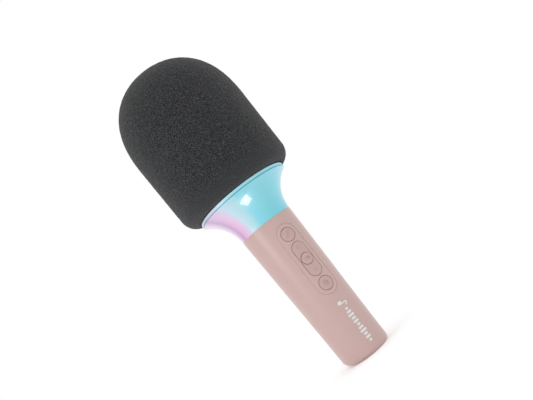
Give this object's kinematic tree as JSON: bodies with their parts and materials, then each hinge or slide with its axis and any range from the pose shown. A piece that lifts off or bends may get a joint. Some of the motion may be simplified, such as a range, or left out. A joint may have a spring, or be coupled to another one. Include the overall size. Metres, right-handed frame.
{
  "type": "toy microphone",
  "caption": "Handheld toy karaoke microphone: tapered pink handle with push buttons, flared light ring, loudspeaker and capsule in the head, and a pull-off foam windscreen.",
  "frame": {"origin": "centre of the box's underside: the handle's base rests on z = 0, on the microphone's axis", "axes": "+Z along the microphone's axis, from the base to the foam head; -Y out of the button panel; +X to the right of someone who looks at the buttons"},
  "size_m": [0.081, 0.081, 0.218],
  "materials": {
    "foam": "open-cell foam, matt",
    "grille_steel": "dark satin wire mesh",
    "collar_black": "matt",
    "capsule_metal": "satin",
    "rubber_black": "matt",
    "deck_black": "fine texture",
    "screw_steel": "satin",
    "speaker_steel": "black zinc",
    "speaker_paper": "pressed paper",
    "coil_copper": "enamelled copper",
    "magnet_grey": "ferrite",
    "cup_white": "white reflector",
    "light_ring": "clear gloss over pearl",
    "led_board": "white solder mask",
    "led_lens": "gloss",
    "handle_pink": "soft touch",
    "panel_pink": "soft touch",
    "button_pink": "soft touch",
    "switch_black": "matt",
    "board_green": "solder mask",
    "chip_black": "moulded epoxy",
    "ceramic_tan": "fired",
    "can_aluminium": "drawn can",
    "socket_ivory": "nylon",
    "port_metal": "satin",
    "cell_wrap": "shrink sleeve",
    "nickel": "satin",
    "cradle_white": "satin",
    "cap_pink": "soft touch",
    "wire_red": "insulation",
    "wire_grey": "insulation",
    "wire_black": "insulation"
  },
  "bodies": {
    "microphone": {"grille_basket": "grille_steel", "grille_collar": "collar_black", "mic_capsule": "capsule_metal", "capsule_holder": "rubber_black", "capsule_stand": "deck_black", "speaker_deck": "deck_black", "speaker_screws": "screw_steel", "speaker_gasket": "rubber_black", "speaker_frame": "speaker_steel", "speaker_surround": "rubber_black", "speaker_cone": "speaker_paper", "dust_cap": "speaker_paper", "voice_coil": "coil_copper", "speaker_magnet": "magnet_grey", "magnet_back_plate": "speaker_steel", "speaker_back_cup": "cup_white", "light_ring": "light_ring", "led_board": "led_board", "ring_leds": "led_lens", "handle_shell": "handle_pink", "button_panel": "panel_pink", "button_switches": "switch_black", "main_board": "board_green", "board_screws": "screw_steel", "bluetooth_chip": "chip_black", "amplifier_chip": "chip_black", "charger_chip": "chip_black", "small_capacitors": "ceramic_tan", "electrolytic_capacitors": "can_aluminium", "power_coil": "magnet_grey", "wire_sockets": "socket_ivory", "usb_port": "port_metal", "port_tongue": "switch_black", "battery_cell": "cell_wrap", "cell_tabs": "nickel", "battery_cradle": "cradle_white", "end_cap": "cap_pink", "end_cap_screws": "screw_steel", "speaker_wires": "wire_red", "microphone_wires": "wire_grey", "light_wires": "wire_black", "battery_wires": "wire_red"},
    "windscreen": {"foam_windscreen": "foam"},
    "effect": {"effect_button": "button_pink", "effect_plunger": "switch_black"},
    "volume_up": {"volume_up_button": "button_pink", "volume_up_plunger": "switch_black"},
    "play": {"play_button": "button_pink", "play_plunger": "switch_black"},
    "volume_down": {"volume_down_button": "button_pink", "volume_down_plunger": "switch_black"},
    "power": {"power_button": "button_pink", "power_plunger": "switch_black"}
  },
  "joints": [
    {"name": "windscreen_pull", "type": "slide", "parent": "microphone", "child": "windscreen", "axis": [0, 0, 1], "range_m": [0, 0.095]},
    {"name": "effect_press", "type": "slide", "parent": "microphone", "child": "effect", "axis": [0, 1, 0], "range_m": [0, 0.0005], "stiffness_N_per_m": 1500, "springref_m": -0.0006},
    {"name": "volume_up_press", "type": "slide", "parent": "microphone", "child": "volume_up", "axis": [0, 1, 0], "range_m": [0, 0.0005], "stiffness_N_per_m": 1500, "springref_m": -0.0006},
    {"name": "play_press", "type": "slide", "parent": "microphone", "child": "play", "axis": [0, 1, 0], "range_m": [0, 0.0005], "stiffness_N_per_m": 1500, "springref_m": -0.0006},
    {"name": "volume_down_press", "type": "slide", "parent": "microphone", "child": "volume_down", "axis": [0, 1, 0], "range_m": [0, 0.0005], "stiffness_N_per_m": 1500, "springref_m": -0.0006},
    {"name": "power_press", "type": "slide", "parent": "microphone", "child": "power", "axis": [0, 1, 0], "range_m": [0, 0.0005], "stiffness_N_per_m": 1500, "springref_m": -0.0006}
  ]
}
